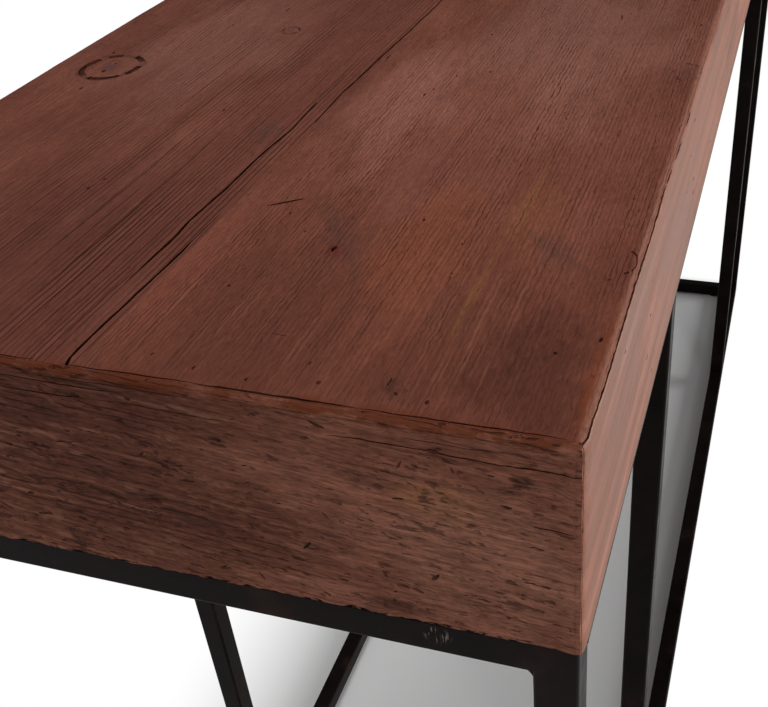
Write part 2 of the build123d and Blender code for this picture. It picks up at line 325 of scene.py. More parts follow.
def timberMaterial(look):
    material, tree, shader, place = newMaterial(look["name"], look["specular"])
    turned = put(tree, "ShaderNodeMapping", {"Vector": place, "Rotation": look["turn"]}).outputs[0]
    grain = useGroup(tree, grainGroup, {
        "Vector": turned, "Lines": look["lines"], "Wander": look["wander"], "Ripple": look["ripple"],
        "Ripple Scale": look["rippleScale"], "Break": look["breaks"], "Seed": look["seed"],
        "Knot": look.get("knotCentre", [farAway] * 3)})
    masks = {output.name: output for output in grain}
    for patch in look.get("calm", []):  # places with little grain
        quiet = calc(tree, "SUBTRACT", 1.0, patchMask(tree, place, patch))
        for mask in ("Lines", "Ridges", "Checks"):
            masks[mask] = times(tree, masks[mask], quiet)
    shades = [paint(*look[shade]) for shade in ("deep", "middle", "pale")]
    colour = ramp(tree, masks["Blotch"], list(zip(timberFinish["tones"], shades)))

    def stain(mask, part):
        amount = times(tree, masks[mask], look[part])
        return blend(tree, amount, colour, paint(*look.get(part + "Colour", look["checkColour"])))
    colour = stain("Bands", "band")
    for patch in look["patches"]:
        colour = blend(tree, patchMask(tree, place, patch), colour, paint(*patch["colour"]))
    colour = stain("Smudge", "smudge")
    fibre = spread(tree, masks["Fibre"], *timberFinish["fibreLimits"], 1 - look["fibre"], 1 + look["fibre"])
    colour = scaled(tree, colour, fibre)
    colour = stain("Ridges", "ridge")
    colour = stain("Lines", "line")
    for knot in look.get("knots", []):
        colour = addKnot(tree, place, colour, knot)
    colour = stain("Pores", "pore")
    hollow = put(tree, "ShaderNodeAttribute", attribute_name="hollow").outputs["Fac"]
    high = spread(tree, hollow, *timberFinish["high"], 0.0, look["high"])
    colour = blend(tree, high, colour, paint(*look["ridgeColour"]))
    dirt = spread(tree, hollow, *timberFinish["dirt"], 0.0, look["dirt"])
    colour = blend(tree, dirt, colour, paint(*look["dirtColour"]))
    rim = {"Vector": place, "Width": look["wearWidth"], "Half Size": look["wearBox"]}
    masks["Wear"] = useGroup(tree, wearGroup, rim)["Wear"]
    colour = stain("Wear", "wear")
    colour = stain("Dashes", "dash")
    colour = stain("Checks", "check")
    plug(tree, colour, shader.inputs["Base Color"])
    rough = [look["roughness"] + way * timberFinish["roughSpread"] for way in (-1, 1)]
    roughness = spread(tree, masks["Blotch"], timberFinish["tones"][0], timberFinish["tones"][-1], *rough)
    roughness = calc(tree, "MULTIPLY_ADD", masks["Lines"], timberFinish["lineRough"], roughness)
    roughness = calc(tree, "MULTIPLY_ADD", masks["Wear"], timberFinish["wearRough"], roughness)
    plug(tree, roughness, shader.inputs["Roughness"])
    height = 0.0
    for mask, weight in timberFinish["heights"].items():
        height = calc(tree, "MULTIPLY_ADD", masks[mask], weight, height)
    addBump(tree, shader, height, look["bump"], timberFinish["bumpDepth"])
    return material


def marksOn(face, names, rows):  # rows start with the place on the face and two half sizes, in mm
    axis, value, inward = outerFaces[face]
    marks = []
    for row in rows:
        along, across, long, wide = [length / 1000 for length in row[:4]]
        mark = dict(zip(names, row[4:]), size=(long, wide, 1))
        place, turn = [along, across], mark.get("turn", 0)
        place.insert(axis, value)
        mark.update(place=place, turn=((90, 0, 90 + turn), (90, 0, turn), (0, 0, turn))[axis])
        marks.append(mark)
    return marks


def patchesOn(face, *rows):
    return marksOn(face, ("colour", "strength", "ragged", "turn"), rows)


def knotsOn(face, *rows):
    return marksOn(face, ("broken", "rings", "heart", "ring", "turn"), rows)


endRim = (cadHigh[0], farAway, cadHigh[2])  # only the arrises at the two ends
sideRim = (farAway, cadHigh[1], cadHigh[2])
topLook = {  # shares of each stain beside its colour
    "turn": (0, 0, 0), "lines": 345, "wander": 0.008, "ripple": 0.0014, "rippleScale": 30, "breaks": 0.2,
    "roughness": 0.66, "specular": 0.06, "bump": 0.5,
    "deep": (86, 46, 35), "middle": (101, 57, 44), "pale": (115, 69, 55), "fibre": 0.26,
    "band": 0.25, "bandColour": (84, 45, 34), "line": 0.45, "lineColour": (60, 28, 21),
    "ridge": 0.2, "ridgeColour": (128, 80, 66), "high": 0.0,
    "check": 0.7, "checkColour": (42, 19, 14), "pore": 0.3, "dash": 0.0,
    "smudge": 0.14, "smudgeColour": (66, 40, 33), "dirt": 0.0, "dirtColour": (40, 22, 17),
    "wearWidth": 0.006, "wear": 0.7, "wearColour": (86, 40, 22), "wearBox": endRim,
}
frontBoardLook = dict(
    topLook, name="frontBoardTimber", seed=1.0, lines=470, ripple=0.0027, rippleScale=125, line=1.0,
    ridge=0.4, check=0.2, breaks=0.6,
    calm=patchesOn("top", (-750, -90, 50, 150, None, 0.7), (-710, -190, 90, 30, None, 0.6)),
    # The darker patch at the near end (-750, -100) and the paler pink patches at (-470, -45) and (-360, -120)
    # are partly painted sheen, which grows towards the far end
    patches=patchesOn(
        "top", (-750, -100, 200, 160, (82, 44, 33), 0.5), (-635, -110, 90, 30, (124, 69, 46), 0.4),
        (-600, -150, 50, 20, (116, 68, 44), 0.35), (-470, -45, 130, 40, (140, 92, 80), 0.5),
        (-360, -120, 180, 90, (132, 90, 79), 0.45), (-670, -15, 80, 12, (108, 56, 44), 0.4),
        (-715, -182, 60, 45, (66, 35, 26), 0.6, 0.9), (-710, -200.5, 70, 5, (108, 52, 27), 0.45, 0.6),
        # The pale strip at (0, -203.6) along the front arris takes the aprons' pale tone, partly painted
        # sheen
        (0, -203.6, 4000, 4.2, (136, 92, 77), 0.75, 0.12), (-660, -142, 60, 3, (116, 76, 44), 0.4, 0.4),
        (-585, -145, 50, 3, (118, 80, 46), 0.4, 0.4), (-560, -90, 60, 20, (108, 62, 56), 0.35),
        (-630, -68, 45, 9, (66, 46, 40), 0.4, 0.9, 30), (-625, -165, 30, 8, (66, 46, 40), 0.4, 0.9, 45),
        (-645, -72, 8.5, 6.5, (88, 34, 28), 0.75), (-733, -131, 8, 6, (58, 34, 26), 0.5, 0.9)),
    knots=knotsOn(
        "top", (-410, -195, 14, 8, 0.5, 0.3, 0.4, 0.7), (210, -110, 16, 13, 0.47, 0.4, 0.6, 0.8),
        (550, -160, 12, 9, 0.45, 0.4, 0.5, 0.8)))
rearBoardLook = dict(
    topLook, name="rearBoardTimber", seed=4.0, deep=(80, 43, 33), middle=(95, 53, 42), pale=(109, 65, 53),
    check=0.9, line=0.9, knotCentre=(-0.4525, 0.162, cadHigh[2]),
    calm=patchesOn("top", (-452.5, 162, 45, 40, None, 0.9, 0.3), (-460, 150, 260, 70, None, 0.5)),
    # The darker patch near the end at (-700, 50) and the paler patch at (-400, 110) are partly painted sheen,
    # which grows towards the far end
    patches=patchesOn(
        "top", (-400, 110, 160, 70, (124, 84, 72), 0.4), (-700, 50, 200, 100, (76, 42, 33), 0.5),
        (-530, 15, 20, 12, (66, 50, 46), 0.4, 0.9)),
    knots=knotsOn(
        "top", (-453.5, 161.5, 20, 17, 0.9, 0.0, 0.8, 0.0, 30),
        (-452.5, 161.7, 21.2, 19.1, 0.3, 0.0, 0.0, 0.4), (-371, 73, 7, 6, 0.4, 0.2, 0.5, 0.7),
        (-422, 195, 9, 7, 0.5, 0.2, 0.3, 0.5), (-360, 193, 10, 7, 0.5, 0.2, 0.3, 0.5),
        (120, 60, 18, 15, 0.46, 0.4, 0.6, 0.8), (480, 130, 13, 11, 0.45, 0.4, 0.6, 0.8)))
endLook = {
    "turn": (math.radians(-5), 0, math.radians(90)), "lines": 250, "wander": 0.01, "ripple": 0.007,
    "rippleScale": 36, "breaks": 1.0, "roughness": 0.78, "specular": 0.05, "bump": 1.0,
    "deep": (93, 54, 42), "middle": (116, 72, 57), "pale": (139, 91, 74), "fibre": 0.4,
    "band": 0.3, "bandColour": (84, 48, 37), "line": 0.5, "lineColour": (62, 34, 27),
    "ridge": 0.35, "ridgeColour": (154, 107, 88), "high": 0.3,
    "check": 0.5, "checkColour": (36, 20, 16), "pore": 0.45, "dash": 0.55,
    "smudge": 0.45, "smudgeColour": (60, 40, 33), "dirt": 0.6, "dirtColour": (46, 28, 22),
    "wearWidth": 0.0055, "wear": 0.85, "wearColour": (78, 36, 18), "wearBox": endRim,
}
# On the left end, the large dark patch at (0, 810) and the light patch at (-170, 800) are painted light: the
# end is painted darker across its middle and rear and lighter near the front corner, where the light falls
leftEndLook = dict(endLook, name="leftEndTimber", seed=8.0, patches=patchesOn(
    "left", (-152, 826, 30, 12, (140, 96, 66), 0.55), (-183, 843, 7, 4, (34, 24, 22), 0.7),
    (-130, 766, 22, 6, (40, 26, 22), 0.6), (0, 810, 170, 100, (70, 40, 32), 0.6),
    (-115, 858, 20, 6, (134, 88, 66), 0.4), (-170, 800, 60, 50, (134, 92, 76), 0.55)))
rightEndLook = dict(endLook, name="rightEndTimber", seed=15.0, patches=patchesOn(
    "right", (70, 810, 50, 20, (140, 96, 66), 0.5), (-100, 800, 80, 30, (66, 38, 31), 0.5)))
# The aprons are much paler than the top's timber: partly their own tone, partly painted sheen and light that
# the sides catch at a grazing view
apronLook = {
    "turn": (0, 0, 0), "lines": 70, "wander": 0.02, "ripple": 0.006, "rippleScale": 9, "breaks": 0.6,
    "roughness": 0.55, "specular": 0.26, "bump": 0.12,
    "deep": (132, 80, 61), "middle": (158, 100, 80), "pale": (178, 121, 101), "fibre": 0.16,
    "band": 0.75, "bandColour": (124, 79, 53), "line": 0.05, "lineColour": (116, 74, 57),
    "ridge": 0.1, "ridgeColour": (164, 120, 102), "high": 0.0,
    "check": 0.1, "checkColour": (64, 38, 30), "pore": 0.2, "dash": 0.0,
    "smudge": 0.2, "smudgeColour": (100, 70, 60), "dirt": 0.0, "dirtColour": (60, 36, 28),
    "wearWidth": 0.003, "wear": 0.3, "wearColour": (150, 104, 88), "wearBox": sideRim,
}
frontApronLook = dict(
    apronLook, name="frontApronTimber", seed=21.0, patches=patchesOn(
        "front", (-520, 800, 120, 40, (138, 98, 86), 0.4), (250, 820, 200, 30, (92, 52, 41), 0.4),
        (-680, 806, 110, 9, (126, 76, 50), 0.55, 0.5, 1), (-620, 785, 140, 5, (128, 78, 53), 0.5),
        (-560, 832, 160, 5, (132, 82, 58), 0.5), (-700, 770, 80, 6, (180, 126, 110), 0.4),
        (-640, 848, 150, 5, (180, 128, 114), 0.4)),
    knots=knotsOn("front", (360, 812, 15, 11, 0.45, 0.4, 0.6, 0.8)))
rearApronLook = dict(
    apronLook, name="rearApronTimber", seed=27.0,
    patches=patchesOn("rear", (-200, 810, 200, 30, (92, 52, 41), 0.4)),
    knots=knotsOn("rear", (-330, 800, 14, 10, 0.45, 0.4, 0.6, 0.8)))


def speckledMaterial(name, dark, pale, look):  # two tones mixed by a fine noise
    material, tree, shader, place = newMaterial(name, look["specular"])
    dust = noise(tree, place, *look["noise"])
    tones = list(zip(look["tones"], (paint(*dark), paint(*pale))))
    plug(tree, ramp(tree, dust, tones), shader.inputs["Base Color"])
    plug(tree, spread(tree, dust, *look["limits"], *look["roughness"]), shader.inputs["Roughness"])
    shader.inputs["Metallic"].default_value = look["metallic"]
    return material


cutLook = {
    "noise": ((180, 180, 180), 3.0, 0.55), "tones": (0.35, 0.7), "limits": (0.3, 0.7),
    "roughness": (0.8, 0.95), "specular": 0.1, "metallic": 0.0,
}
# Dark tones for the cut faces inside cracks, knot rings, joints, pits and nicks: partly the wood's own dark
# inside, partly painted shade for their depth
cutTones = {
    "crack": ((40, 16, 10), (74, 33, 22)), "bark": ((46, 20, 14), (76, 36, 26)),
    "joint": ((38, 19, 12), (72, 38, 24)), "pit": ((42, 19, 15), (72, 36, 28)),
    "nick": ((58, 36, 28), (98, 62, 49)),
}
cutShades = {name: speckledMaterial(name + "Shade", *tones, cutLook) for name, tones in cutTones.items()}
print("timber looks and cut shades ready")


def pickOnly(piece):
    bpy.ops.object.select_all(action="DESELECT")
    piece.select_set(True)
    bpy.context.view_layer.objects.active = piece


def selectParts(piece, kind, test):  # edit mode, parts of the mesh chosen by place
    bpy.ops.mesh.select_mode(type=kind)
    bpy.ops.mesh.select_all(action="DESELECT")
    mesh = bmesh.from_edit_mesh(piece.data)
    for part in {"VERT": mesh.verts, "EDGE": mesh.edges, "FACE": mesh.faces}[kind]:
        if test(part):
            part.select_set(True)
    bmesh.update_edit_mesh(piece.data)


def gridAlong(piece, axis, length, cell):
    steps = max(1, round(length / cell))
    rounds = math.ceil(steps / boardShape["mostCuts"])

    def runsAlong(edge):
        run = edge.verts[1].co - edge.verts[0].co
        straight = abs(run[axis]) > boardShape["straight"] * run.length
        return straight and run.length > boardShape["longEdge"] * cell
    for cuts in (rounds - 1, math.ceil(steps / rounds) - 1):
        if cuts > 0:
            selectParts(piece, "EDGE", runsAlong)
            bpy.ops.mesh.subdivide(number_cuts=cuts)


def applyAll(piece):
    pickOnly(piece)
    for modifier in list(piece.modifiers):
        bpy.ops.object.modifier_apply(modifier=modifier.name)


def cloudTexture(name, size, depth, ramp=None):
    texture = bpy.data.textures.new(name, "CLOUDS")
    texture.noise_scale = size
    texture.noise_depth = depth
    if ramp is not None:  # only the peaks sink in
        texture.use_color_ramp = True
        for element, place, shade in zip(texture.color_ramp.elements, ramp, (1.0, 0.0)):
            element.position = place
            element.color = (shade, shade, shade, 1.0)
    return texture


def addObject(name, data, place=(0, 0, 0), turn=(0, 0, 0)):
    piece = bpy.data.objects.new(name, data)
    bpy.context.scene.collection.objects.link(piece)
    piece.location = place
    piece.rotation_euler = turn
    return piece


def pressIn(piece, texture, strength, face, group, space=None):  # only ever inwards
    axis, value, inward = outerFaces[face]
    modifier = piece.modifiers.new("press", "DISPLACE")
    modifier.texture = texture
    modifier.direction = "XYZ"[axis]
    modifier.strength = -strength * inward[axis]
    modifier.mid_level = 1.0
    modifier.vertex_group = group
    if space is not None:
        modifier.texture_coords = "OBJECT"
        modifier.texture_coords_object = space


boardPlan = {  # own outer face, faces it is mitred to, finish
    "top_board_front": {"face": "top", "mitres": ("front", "left", "right"), "look": frontBoardLook},
    "top_board_rear": {"face": "top", "mitres": ("rear", "left", "right"), "look": rearBoardLook},
    "front_apron": {"face": "front", "mitres": ("top", "left", "right"), "look": frontApronLook},
    "rear_apron": {"face": "rear", "mitres": ("top", "left", "right"), "look": rearApronLook},
    "left_end_apron": {"face": "left", "mitres": ("top", "front", "rear"), "look": leftEndLook},
    "right_end_apron": {"face": "right", "mitres": ("top", "front", "rear"), "look": rightEndLook},
}
boardShape = {
    "arris": 0.0036, "arrisSteps": 4, "wrap": 0.0026, "jointGap": 0.0001, "cell": 0.003, "endCell": 0.0018,
    "thickCell": 0.007, "mostCuts": 90, "straight": 0.999, "longEdge": 1.6, "smoothAngle": 40,
    "arrisReach": 1.05, "onPlane": 1e-5, "weld": 1e-6,
}
relief = {  # depths, noise sizes and stretch along the grain
    "dip": 0.0007, "dipSize": 0.09, "furrow": 0.0004, "furrowSize": 0.007, "furrowStretch": 16,
    "chip": 0.001, "chipSize": 0.01, "ripple": 0.0012, "rippleSize": 0.0036, "rippleStretch": 4.5, "slant": 6,
    "dent": 0.0009, "dentSize": 0.0045, "dentStretch": 2.0, "dentRamp": (0.7, 0.8),
    "grit": 0.0005, "gritSize": 0.0016, "gritStretch": 2.0,
    "edgeFrom": 0.003, "edgeTo": 0.012, "edgeShare": 0.2, "sunk": (0.001, 0.0004, 0.0003), "endDepth": 0.0011,
    "dirtDepth": 0.002, "middleDirt": 0.3, "longChip": 0.12, "furrowTurn": (0.03, 0, 0.02),
}
slant = (math.radians(relief["slant"]), 0, 0)


def reliefLayer(name, detail, grain=None, turn=(0, 0, 0)):  # noise that is stretched along the grain axis
    texture = cloudTexture(name + "Noise", relief[name + "Size"], detail, relief.get(name + "Ramp"))
    space = None
    if grain is not None:
        space = addObject(name + "Space", None, turn=turn)
        space.scale[grain] = relief[name + "Stretch"]
    return texture, relief[name], space


chipNoise = cloudTexture("chipNoise", relief["chipSize"], 3)
sideLayers = [reliefLayer("dip", 2)]
longLayers = sideLayers + [reliefLayer("furrow", 2, 0, relief["furrowTurn"])]
endLayers = sideLayers + [
    reliefLayer("ripple", 1, 1, slant), reliefLayer("dent", 3, 1, slant), reliefLayer("grit", 1, 1, slant)]


def outerPlanes(point):  # which faces of the whole timber box a point lies on
    return {name for name, (axis, value, inward) in outerFaces.items()
            if abs(point[axis] - value) < boardShape["onPlane"]}


def isEnd(face):
    return face in ("left", "right")


def isArris(edge):
    ends = [outerPlanes(vertex.co) for vertex in edge.verts]
    return len(ends[0] & ends[1]) > 1


def secondDepth(point):  # small only near an arris, where two faces of the box are close
    return sorted(abs(point[axis] - value) for axis, value, inward in outerFaces.values())[1]


def makeBoard(name, plan):
    low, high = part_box(name)
    for other in plan["mitres"]:  # the block reaches the faces it will be mitred to
        axis, value, inward = outerFaces[other]
        (low if inward[axis] > 0 else high)[axis] = value
    size = high - low
    bpy.ops.object.select_all(action="DESELECT")
    bpy.ops.mesh.primitive_cube_add(size=1, location=(low + high) / 2, scale=size)
    board = bpy.context.object
    board.name = name + "_timber"
    bpy.ops.object.transform_apply(location=True, rotation=True, scale=True)
    bpy.ops.object.mode_set(mode="EDIT")
    selectParts(board, "EDGE", isArris)
    bpy.ops.mesh.bevel(offset=boardShape["arris"], segments=boardShape["arrisSteps"], profile=0.5)
    thickness = outerFaces[plan["face"]][0]
    for axis in range(3):
        cell = boardShape["endCell" if isEnd(plan["face"]) else "cell"]
        gridAlong(board, axis, size[axis], boardShape["thickCell"] if axis == thickness else cell)
    if isEnd(plan["face"]):
        refineFace(board, plan["face"])
    bpy.ops.object.mode_set(mode="OBJECT")
    cutMitres(board, plan)
    addRelief(board, plan)
    return board


def refineFace(board, face):  # edit mode, a finer skin for the rough ends
    selectParts(board, "FACE", lambda side: face in outerPlanes(side.calc_center_median()))
    bpy.ops.mesh.subdivide(number_cuts=1)


def addRelief(board, plan):  # each face of the box has one relief, shared by all boards that reach it
    reach = boardShape["arris"] * boardShape["arrisReach"]
    rim = board.vertex_groups.new(name="arris")
    for vertex in board.data.vertices:
        if secondDepth(vertex.co) < reach:
            share = 1.0 if cadHigh[0] - abs(vertex.co.x) < reach else relief["longChip"]
            rim.add([vertex.index], share, "REPLACE")
    for face in (plan["face"],) + plan["mitres"]:
        axis, value, inward = outerFaces[face]
        skin = board.vertex_groups.new(name=face)
        for vertex in board.data.vertices:
            if abs(vertex.co[axis] - value) < reach:
                skin.add([vertex.index], 1.0 if axis else endShare(vertex.co), "REPLACE")
        for texture, strength, space in (endLayers, sideLayers, longLayers)[axis]:
            pressIn(board, texture, strength, face, face, space)
        pressIn(board, chipNoise, relief["chip"], face, "arris")
    applyAll(board)


def endShare(point):  # the rough ends calm down towards their arrises
    inside = min(cadHigh[2] - point.z, cadHigh[1] - abs(point.y))
    share = min(1.0, max(0.0, (inside - relief["edgeFrom"]) / (relief["edgeTo"] - relief["edgeFrom"])))
    return relief["edgeShare"] + (1 - relief["edgeShare"]) * share


def markHollows(board, face):  # depth below the face, for dirt
    axis, value, inward = outerFaces[face]
    depths = []
    for vertex in board.data.vertices:
        depth = abs(vertex.co[axis] - value) - relief["endDepth"] * endShare(vertex.co)
        depth = 0.0 if secondDepth(vertex.co) < boardShape["arris"] else depth / relief["dirtDepth"]
        depths.append(min(1.0, max(0.0, relief["middleDirt"] + depth)))
    board.data.attributes.new("hollow", "FLOAT", "POINT").data.foreach_set("value", depths)


def cutMitres(board, plan):
    ownAxis, ownPlace, ownInward = outerFaces[plan["face"]]
    pickOnly(board)
    bpy.ops.object.mode_set(mode="EDIT")
    for other in plan["mitres"]:
        axis, place, inward = outerFaces[other]
        corner = Vector((0, 0, 0))
        corner[ownAxis], corner[axis] = ownPlace, place
        if plan["face"] == "top":  # the ends wrap over the arris, the sides meet it half way
            corner += inward * (boardShape["jointGap"] + boardShape["wrap"] * (axis == 0))
        elif other == "top" and ownAxis == 0:
            corner += ownInward * boardShape["wrap"]
        bpy.ops.mesh.select_all(action="SELECT")
        bpy.ops.mesh.bisect(plane_co=corner, plane_no=inward - ownInward, use_fill=True, clear_inner=True,
                            threshold=boardShape["weld"])
    bpy.ops.mesh.select_all(action="SELECT")
    bpy.ops.mesh.remove_doubles(threshold=boardShape["weld"])
    bpy.ops.mesh.fill_holes(sides=0)
    bpy.ops.object.mode_set(mode="OBJECT")


boards = {name: makeBoard(name, plan) for name, plan in boardPlan.items()}
for texture, strength, space in longLayers + endLayers:
    if space is not None:
        bpy.data.objects.remove(space)
print("boards shaped,", sum(len(board.data.polygons) for board in boards.values()), "faces")


cutShape = {  # sway as noise size and strength, sides as steps along and round
    "crackSway": ((0.05, 0.002), (0.012, 0.0005)), "pitSway": ((0.003, 0.0018),),
    "jointSway": ((0.004, 0.0008),), "ringShake": ((0.02, 0.0016), (0.005, 0.0009)),
    "crackSides": (36, 8), "pitSides": (8, 10), "ringSides": (90, 8), "chainReach": 0.78,
}


def spindle(name):
    steps, sides = cutShape[name + "Sides"]
    bpy.ops.object.select_all(action="DESELECT")
    bpy.ops.mesh.primitive_uv_sphere_add(segments=sides, ring_count=steps, radius=1)
    piece = bpy.context.object
    piece.name = name + "Cutter"
    piece.data.materials.append(cutShades["crack"])
    return piece


crackCutter = spindle("crack")
pitCutter = spindle("pit")


def placeMark(source, face, mark):  # along, across, half length, half width, depth in mm, turn in degrees
    along, across, length, width, depth = [value / 1000 for value in mark[:5]]
    angle = math.radians(mark[5] if len(mark) > 5 else 0)
    axis, value, inward = outerFaces[face]
    value += inward[axis] * relief["sunk"][axis]
    cutter = source.copy()
    cutter.data = source.data.copy()
    bpy.context.scene.collection.objects.link(cutter)
    place, upright = [along, across], math.radians(90)
    place.insert(axis, value)
    cutter.location = place
    cutter.rotation_euler = ((angle - upright, 0, 0), (0, upright - angle, 0), (0, upright, angle))[axis]
    cutter.scale = (width, depth, length) if axis == 1 else (depth, width, length)
    return cutter


def joinCutters(parts):
    bpy.ops.object.select_all(action="DESELECT")
    for part in parts:
        part.select_set(True)
    bpy.context.view_layer.objects.active = parts[0]
    if len(parts) > 1:
        bpy.ops.object.join()
    bpy.ops.object.transform_apply(location=True, rotation=True, scale=True)
    return bpy.context.object


def shakeCutter(cutter, direction, layers):
    for size, strength in layers:
        shake = cutter.modifiers.new("shake", "DISPLACE")
        shake.texture = cloudTexture("shakeNoise", size, 2)
        shake.strength = strength
        shake.direction = direction
    applyAll(cutter)


def cutAway(board, cutter):
    cut = board.modifiers.new("cut", "BOOLEAN")
    cut.operation = "DIFFERENCE"
    cut.object = cutter
    cut.solver = "MANIFOLD"
    cut.material_mode = "TRANSFER"
    applyAll(board)
    bpy.data.objects.remove(cutter)


def cutMarks(board, face, source, marks, sway, shade, passes=2):  # overlapping neighbours are cut in turn
    for first in range(passes):
        cutter = joinCutters([placeMark(source, face, mark) for mark in marks[first::passes]])
        shakeCutter(cutter, "Z" if outerFaces[face][0] != 2 else "Y", sway)
        cutter.data.materials[0] = cutShades[shade]
        cutAway(board, cutter)


def chain(points, width, depth):  # a long crack as overlapping lengths
    marks = []
    for (x0, y0), (x1, y1) in zip(points, points[1:]):
        reach = math.hypot(x1 - x0, y1 - y0) * cutShape["chainReach"]
        turn = math.degrees(math.atan2(y1 - y0, x1 - x0))
        marks.append(((x0 + x1) / 2, (y0 + y1) / 2, reach, width, depth, turn))
    return marks


knotRings = [  # bark rings broken into arcs, in mm and degrees
    {"place": (-452.5, 161.7), "radius": 20.3, "thick": 2.4, "squash": 0.9, "depth": 0.75,
     "gaps": [(0, 8), (41, 52), (151, 164), (229, 240), (282, 300), (340, 360)]},
    {"place": (-630, -194.5), "radius": 9, "thick": 0.9, "squash": 0.5, "depth": 1.0,
     "gaps": [(0, 180), (215, 222), (352, 360)]},
    {"place": (-371, 73), "radius": 6.2, "thick": 0.6, "squash": 0.85, "depth": 0.9,
     "gaps": [(20, 70), (130, 190), (250, 280)]},
]


def cutKnotRing(board, plan):
    along, across = [value / 1000 for value in plan["place"]]
    turns, sides = cutShape["ringSides"]
    bpy.ops.object.select_all(action="DESELECT")
    bpy.ops.mesh.primitive_torus_add(major_radius=plan["radius"] / 1000, minor_radius=plan["thick"] / 1000,
                                     major_segments=turns, minor_segments=sides)
    ring = bpy.context.object

    def inGap(vertex):
        angle = math.degrees(math.atan2(vertex.co.y, vertex.co.x)) % 360
        return any(start <= angle < end for start, end in plan["gaps"])
    bpy.ops.object.mode_set(mode="EDIT")
    selectParts(ring, "VERT", inGap)
    bpy.ops.mesh.delete(type="VERT")
    bpy.ops.mesh.select_all(action="SELECT")
    bpy.ops.mesh.fill_holes(sides=0)
    bpy.ops.transform.resize(value=(1, plan["squash"], plan["depth"]))
    bpy.ops.transform.translate(value=(along, across, cadHigh[2] - relief["sunk"][2]))
    bpy.ops.object.mode_set(mode="OBJECT")
    ring.data.materials.append(cutShades["bark"])
    shakeCutter(ring, "RGB_TO_XYZ", cutShape["ringShake"])
    cutAway(board, ring)


def scatter(seed, count, along, across, length, width, depth, lean=6):
    dice = random.Random(seed)
    return [(dice.uniform(*along), dice.uniform(*across), dice.uniform(*length), dice.uniform(*width),
             dice.uniform(*depth), dice.uniform(-lean, lean)) for index in range(count)]


for name, board in boards.items():
    board.data.materials.append(timberMaterial(boardPlan[name]["look"]))

# marks in mm and degrees: along, across, half length, half width, depth, turn
seamCrack = chain([(-511, -6.2), (-494, -5.7), (-469, -5.4)], 0.4, 4)
seamCrack += chain([(-469, -5.4), (-452, -6.2), (-424, -6.5), (-402, -7.6), (-368, -8.7), (-300, -9.6),
                    (-200, -9.2), (-50, -8.8)], 0.6, 5)
rearCrack = chain([(-747.5, -4.2), (-742, -3), (-727.5, -3), (-708, -3.7), (-679.5, -4.1),
                   (-655, -4.2)], 0.7, 6)
rearCrack += [(-640, -4.6, 18, 0.25, 3, -1), (-676, 6.3, 12, 0.3, 3)]
rearCrack += chain([(-672, 6.2), (-648, 5.4), (-632.6, 6), (-617, 5.5), (-592, 4.7), (-564, 5), (-547, 4.2),
                    (-525, 3)], 0.75, 5)
rearCrack += chain([(-525, 3), (-502, 3.6), (-490, 3.7)], 0.5, 4)
rearCrack += [(-455, 5.3, 40, 0.22, 2, 1)]
wormHoles = ((0.8, 1.8), (0.5, 0.8), (1, 1.5))  # ranges of half length, half width and depth
apronNicks = ((1, 3), (0.4, 0.7), (0.8, 1.4), 5)
endNicks = ((1, 4), (0.4, 0.8), (0.8, 1.4), 40)
boardMarks = {}
boardMarks["top_board_front"] = {
    "cracks": seamCrack + [
        (-606.5, -31.5, 9.5, 0.9, 1.4, -56), (-318, -142, 6, 0.4, 1.2, 8), (-411, -11.8, 5, 0.5, 1.2),
        (200, -9, 200, 0.4, 4), (500, -9, 150, 0.4, 4), (-711, -77, 4, 0.2, 0.6, 88),
    ],
    "pits": [
        (-644, -71.5, 2.4, 1.3, 3), (-616.5, -38, 1.4, 0.6, 1), (-631.5, -52.5, 1, 0.6, 1),
        (-681.5, -39.5, 1, 0.6, 1), (-467, -54, 1.5, 0.8, 1.5), (-458, -57, 1, 0.7, 1.5),
        (-436, -64, 1.1, 0.7, 1.5), (-427, -82, 1, 0.7, 1.5), (-362, -65, 1.2, 0.8, 1.5),
        (-328, -194, 1.4, 0.7, 1.5), (-611, -102, 1.4, 0.6, 1.2), (-573, -191, 1, 0.6, 1),
        (-645, -192.7, 1, 0.7, 1), (-688, -197.6, 1.8, 0.7, 1.2), (-736, -103.7, 1.2, 0.9, 1.2),
        (-725.5, -96, 1.3, 0.6, 0.8), (-736, -133.5, 1.2, 0.7, 1, 40), (-730, -129, 2.6, 0.5, 0.8),
        (-738.5, -146, 1.4, 0.8, 1.2), (-700, -183, 1, 0.8, 1.2), (-738, -54, 1.3, 0.7, 1),
        (-740.4, -76.5, 1, 0.6, 1), (-733.5, -33.6, 1.1, 0.5, 0.8), (-653.4, -128.4, 0.7, 0.6, 0.8),
        (-628.7, -125.7, 1, 0.5, 0.8),
    ] + scatter(3, 26, (-300, 720), (-195, -20), *wormHoles),
}
boardMarks["top_board_rear"] = {
    "cracks": rearCrack + seamCrack + [
        (-610, 56, 90, 0.25, 1.5), (-625, 39, 90, 0.3, 1.5), (-670, 30.5, 75, 0.28, 1.5),
        (-690, 22, 50, 0.2, 1.5), (-705, 8.2, 28, 0.25, 1.5), (-329, 95, 4, 0.4, 1.2),
        (-50, 70, 90, 0.25, 1.5, 0.5), (550, 150, 120, 0.25, 1.5, -0.5),
    ],
    "pits": [
        (-611, 75, 1.2, 0.8, 1.5), (-600, 73, 1, 0.7, 1.5), (-507, 53, 1.2, 0.7, 1.5),
        (-365, 120, 1.3, 0.8, 1.5), (-427.7, 176, 2.2, 0.9, 1.2, 35), (-489, 160.5, 2.2, 0.9, 1.2),
        (-460, 163, 2.4, 1.6, 1.5, 20), (-446.5, 162.5, 1.4, 0.7, 1, 30),
    ] + scatter(5, 26, (-300, 720), (10, 195), *wormHoles),
}
